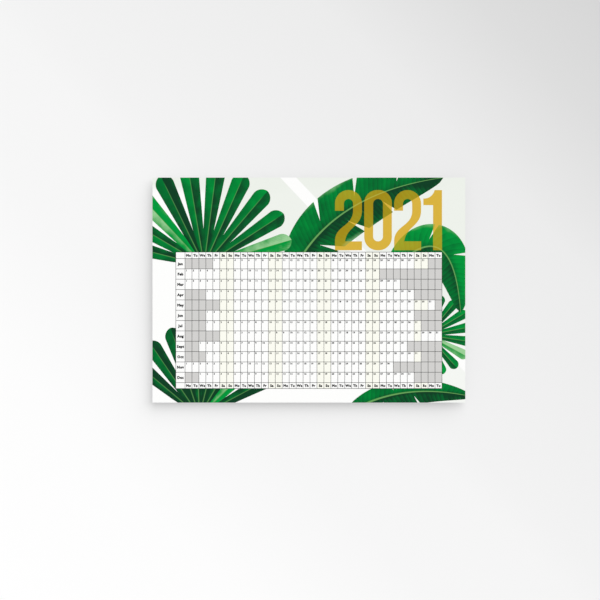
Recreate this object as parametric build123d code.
from build123d import *
from math import pi, radians, sin, tan
import os

# Sheet of paper, hung upright: X is its width, Z its height, the print faces -Y
sheet_width = 584.0
sheet_height = 420.0
paper_thickness = 0.3
ink_thickness = 0.03

# Table of days, centred across the sheet and measured up from its lower edge
table_margin_beside = 43.6
table_margin_below = 26.3
label_width = 17.2
heading_height = 12.0
month_height = 19.3
footing_height = 11.0
day_columns = 37
rule_width = 0.8

# First column and number of days of each month, January to December, and the last Sunday of
# August, which alone is printed without the weekend's tint, as row and column
first_columns = [4, 0, 0, 3, 5, 3, 3, 6, 2, 3, 0, 2]
month_days = [31, 28, 31, 30, 31, 30, 31, 31, 30, 31, 30, 31]
untinted_day = (8, 34)

# Year numerals, right edge in line with the table
year_height = 112.3
year_lift = 3.5
year_stroke = 16.6
year_gap = 4.3
zero_width = 51.5
two_width = 50.3
one_width = 34.7

# Leaves: how far out fan blades stay joined, how broad they end, how far tears gape, widths of ribs
fused_share = 0.36
blade_end_share = 0.72
tear_share = 0.12
rib_root_width = 2.2
rib_tip_width = 1.0

# Places that follow from the dimensions above
month_count = len(month_days)
table_width = sheet_width - 2 * table_margin_beside
table_height = heading_height + month_count * month_height + footing_height
table_left = -table_width / 2
table_right = table_width / 2
table_bottom = -sheet_height / 2 + table_margin_below
table_top = table_bottom + table_height
months_top = table_top - heading_height
columns_left = table_left + label_width
column_width = (table_width - label_width) / day_columns
year_base = table_top + year_lift


def film(drawings, level=1):
    """Lay flat drawings on the front of the sheet as one level of ink."""
    front = Plane.XZ.offset(paper_thickness + (level - 1) * ink_thickness)
    solids = []
    for drawing in drawings:
        for face in drawing.faces():
            solids += extrude(front * face, amount=ink_thickness, dir=(0, -1, 0)).solids()
    return Compound(children=solids)


def shared(drawing, region):
    """Faces that a flat drawing and a region have in common, none if they lie apart."""
    if not region.faces():
        return []
    common = drawing & region
    return common.faces() if common else []


def box_between(left, right, bottom, top):
    """Flat rectangle given by its four sides."""
    return Pos((left + right) / 2, (bottom + top) / 2) * Rectangle(right - left, top - bottom)


def outline(edges):
    """Flat face inside a closed run of edges."""
    return Face(Wire(edges))


# Numerals, each drawn with its lower left corner at the origin
def zero():
    """Upright ring with rounded ends."""
    ring = RectangleRounded(zero_width, year_height, zero_width * 0.47)
    counter_width = zero_width - 2 * year_stroke
    ring -= RectangleRounded(counter_width, year_height - 2 * year_stroke, counter_width * 0.49)
    return Pos(zero_width / 2, year_height / 2) * ring


def two():
    """Hook that turns over the top, runs down the right and ends in a foot."""
    bowl = two_width / 2
    inner_bowl = bowl - year_stroke
    bowl_height = year_height - bowl
    arm_end = year_height * 0.657
    turn = year_height * 0.66
    heel = Vector(two_width * 0.375, year_stroke)
    return outline([
        Line((0, 0), (two_width, 0)),
        Line((two_width, 0), (two_width, year_stroke)),
        Line((two_width, year_stroke), heel),
        Spline(heel, (two_width, turn), tangents=[(0.1, 1), (0, 1)]),
        Line((two_width, turn), (two_width, bowl_height)),
        ThreePointArc((two_width, bowl_height), (bowl, year_height), (0, bowl_height)),
        Line((0, bowl_height), (0, arm_end)),
        Line((0, arm_end), (year_stroke, arm_end)),
        Line((year_stroke, arm_end), (year_stroke, bowl_height)),
        ThreePointArc((year_stroke, bowl_height), (bowl, bowl_height + inner_bowl),
                      (two_width - year_stroke, bowl_height)),
        Line((two_width - year_stroke, bowl_height), (two_width - year_stroke, turn)),
        Spline((two_width - year_stroke, turn), (0, year_stroke), tangents=[(0, -1), (0, -1)]),
        Line((0, year_stroke), (0, 0)),
    ])


def one():
    """Upright stem with a curved flag on its left."""
    stem_left = one_width - year_stroke
    flag_top = year_height * 0.86
    flag_bottom = year_height * 0.75
    return outline([
        Line((stem_left, 0), (one_width, 0)),
        Line((one_width, 0), (one_width, year_height)),
        Line((one_width, year_height), (one_width * 0.6, year_height)),
        ThreePointArc((one_width * 0.6, year_height), (one_width * 0.38, year_height * 0.893),
                      (0, flag_top)),
        Line((0, flag_top), (0, flag_bottom)),
        Line((0, flag_bottom), (stem_left, flag_bottom)),
        Line((stem_left, flag_bottom), (stem_left, 0)),
    ])


def year_numerals():
    """The four numerals set from right to left, closing on the table's right edge."""
    glyphs = []
    right = table_right
    for draw, width in [(one, one_width), (two, two_width), (zero, zero_width), (two, two_width)]:
        glyphs.append(Pos(right - width, year_base) * draw())
        right -= width + year_gap
    return glyphs


# Fan leaf: pleated blades that spread from one hub
def fan_blades(reach, start, end, count, shrink):
    """Angle and length of every blade, shorter towards both ends of the fan."""
    middle = (start + end) / 2
    step = (end - start) / count
    blades = []
    for index in range(count):
        angle = start + (index + 0.5) * step
        share = (angle - middle) / ((end - start) / 2)
        blades.append((angle, reach * (1 - shrink * share * share)))
    return blades


def blade_half(length, half_angle, side):
    """Half of a blade along +X, on the side given by +1 or -1, with a blunt rounded end."""
    slope = side * tan(radians(half_angle))
    split = (fused_share * length, fused_share * length * slope)
    shoulder = (0.9 * length, blade_end_share * 0.9 * length * slope)
    return outline([
        Line((0, 0), (length, 0)),
        ThreePointArc((length, 0), (0.975 * length, 0.6 * shoulder[1]), shoulder),
        Line(shoulder, split),
        Line(split, (0, 0)),
    ])


def fan_leaf(hub, reach, start, end, count, shrink=0.12):
    """Light halves, dark halves and ribs of a fan leaf."""
    half_angle = (end - start) / count / 2
    light = []
    dark = []
    ribs = []
    for angle, length in fan_blades(reach, start, end, count, shrink):
        place = Pos(hub) * Rot(Z=angle)
        light.append(place * blade_half(length, half_angle, 1))
        dark.append(place * blade_half(length, half_angle, -1))
        rib = Polygon((0, rib_root_width / 2), (0, -rib_root_width / 2),
                      (0.93 * length, -rib_tip_width / 2), (0.93 * length, rib_tip_width / 2), align=None)
        ribs.append(place * rib)
    return light, dark, ribs


# Paddle leaf: one long blade on a curved midrib, torn by the wind into a few straps
def midrib_point(base, bend, tip, share):
    """Point of the midrib at a share of its length, and the unit vectors across and along it."""
    along = (bend - base) * (2 * (1 - share)) + (tip - bend) * (2 * share)
    point = base * (1 - share) ** 2 + bend * (2 * share * (1 - share)) + tip * share ** 2
    across = Vector(-along.Y, along.X).normalized()
    return point, across, along.normalized()


def paddle_width(share, half_width):
    """Half the width of a paddle leaf, full in the middle and pointed at the tip."""
    return half_width * sin(pi * share ** 0.85) ** 0.6


def paddle_rib(base, bend, tip):
    """Tapered rib along the midrib, from the base to just short of the tip."""
    root, root_across, along = midrib_point(base, bend, tip, 0)
    end, end_across, along = midrib_point(base, bend, tip, 0.97)
    root_side = root_across * rib_root_width
    end_side = end_across * rib_tip_width / 2
    middle_side = (root_side + end_side) / 2
    elbow = base + (bend - base) * 0.97
    return outline([
        Bezier(root + root_side, elbow + middle_side, end + end_side),
        Line(end + end_side, end - end_side),
        Bezier(end - end_side, elbow - middle_side, root - root_side),
        Line(root - root_side, root + root_side),
    ])


def paddle_leaf(base, bend, tip, half_width, tears):
    """Light half, dark half and rib of a paddle leaf."""
    halves = []
    for side in (1, -1):
        edge_points = [base]
        for share in (0.06, 0.18, 0.34, 0.52, 0.7, 0.86, 0.95):
            point, across, along = midrib_point(base, bend, tip, share)
            edge_points.append(point + across * side * paddle_width(share, half_width))
        edge_points.append(tip)
        half = outline([Spline(*edge_points), Bezier(tip, bend, base)])
        for share in tears:
            share += 0.05 * side
            root, across, along = midrib_point(base, bend, tip, share)
            reach = 1.15 * paddle_width(share, half_width)
            notch = root + across * side * 0.28 * reach
            mouth = root + across * side * reach + along * 0.42 * reach
            spread = along * tear_share * half_width
            half -= Polygon(notch, mouth + spread, mouth - spread, align=None)
        halves.append(half)
    return [halves[0]], [halves[1]], [paddle_rib(base, bend, tip)]


# Table of days: a heading row, a row for each month and a footing row
def row_edge(row):
    """Height of a row's upper edge, or of the table's lower edge after the last row."""
    if row == 0:
        return table_top
    if row > month_count + 1:
        return table_bottom
    return months_top - (row - 1) * month_height


def rule_across(height):
    """Horizontal rule centred on a height, over the whole table."""
    half = rule_width / 2
    return box_between(table_left - half, table_right + half, height - half, height + half)


def rule_up(place):
    """Vertical rule centred on a place across the table."""
    half = rule_width / 2
    return box_between(place - half, place + half, table_bottom - half, table_top + half)


def is_blank(row, column):
    """Whether a cell is greyed out: before a month's first day, up to Friday, or after its last."""
    if not 1 <= row <= month_count:
        return False
    first = first_columns[row - 1]
    return column < min(first, 5) or column >= first + month_days[row - 1]


def is_tinted(row, column):
    """Whether a cell has the weekend's tint: Saturdays and Sundays, with their names."""
    return column % 7 >= 5 and not is_blank(row, column) and (row, column) != untinted_day


def column_field(column, first, last):
    """Field of one column between its rules, from one row up to another."""
    left = columns_left + column * column_width + rule_width / 2
    return box_between(left, left + column_width - rule_width, row_edge(last), row_edge(first))


def fields(column, wanted):
    """Field for every run of rows in a column whose cells pass the test that is given."""
    found = []
    start = None
    for row in range(month_count + 3):
        match = row < month_count + 2 and wanted(row, column)
        if match and start is None:
            start = row
        if not match and start is not None:
            found.append(column_field(column, start, row))
            start = None
    return found


blank_fields = []
weekend_fields = []
for column in range(day_columns):
    blank_fields += fields(column, is_blank)
    weekend_fields += fields(column, is_tinted)

upright_rules = [rule_up(table_left)]
for column in range(day_columns + 1):
    upright_rules.append(rule_up(columns_left + column * column_width))

level_rules = []
for row in range(month_count + 3):
    level_rules.append(rule_across(row_edge(row)))


# The whole picture: leaves from front to back, each hiding what lies behind it
def spot(across, up):
    """Place on the sheet, given as shares of its half width and half height."""
    return Vector(across * sheet_width / 2, up * sheet_height / 2)


leaves = [
    fan_leaf(spot(-0.67, 0.22), 0.448 * sheet_height, 8, 174, 10),
    paddle_leaf(spot(-0.12, 0.11), spot(0.12, 0.86), spot(0.86, 1),
                0.122 * sheet_height, (0.3, 0.52, 0.74)),
    paddle_leaf(spot(0.5, 0.13), spot(0.92, 0.78), spot(0.97, -0.2),
                0.1 * sheet_height, (0.34, 0.6)),
    fan_leaf(spot(0.76, -0.4), 0.205 * sheet_height, -78, 80, 8),
    paddle_leaf(spot(0.24, -1.1), spot(0.58, -0.8), spot(1.05, -0.95),
                0.058 * sheet_height, (0.36, 0.62)),
    fan_leaf(spot(-0.7, -1.12), 0.42 * sheet_height, 20, 148, 8),
]

sheet_face = Rectangle(sheet_width, sheet_height)
table_face = box_between(table_left - rule_width / 2, table_right + rule_width / 2,
                         table_bottom - rule_width / 2, table_top + rule_width / 2)
year_left = Sketch() + year_numerals()
open_ground = sheet_face - table_face - year_left
light_faces = []
dark_faces = []
rib_faces = []
year_over_leaves = []
for light, dark, ribs in leaves:
    shape = Sketch() + light + dark
    visible = Sketch() + shared(shape, open_ground)
    for half in light:
        light_faces += shared(half, visible)
    for half in dark:
        dark_faces += shared(half, visible)
    rib_faces += shared(Sketch() + ribs, visible)
    year_over_leaves += shared(year_left, shape)
    open_ground -= shape
    year_left -= shape

nodes = {
    "paper_sheet": extrude(Plane.XZ * sheet_face, amount=paper_thickness, dir=(0, -1, 0)),
    "leaf_print_light": film(light_faces),
    "leaf_print_dark": film(dark_faces),
    "leaf_print_ribs": film(rib_faces, level=2),
    "year_print_gold": film([year_left]),
    "year_print_over_leaves": film(year_over_leaves),
    "weekend_print": film(weekend_fields),
    "blank_day_print": film(blank_fields),
    "column_rules": film(upright_rules),
    "month_rules": film(level_rules, level=2),
}

os.makedirs("parts", exist_ok=True)
for name, shape in nodes.items():
    export_step(shape, f"parts/{name}.step")
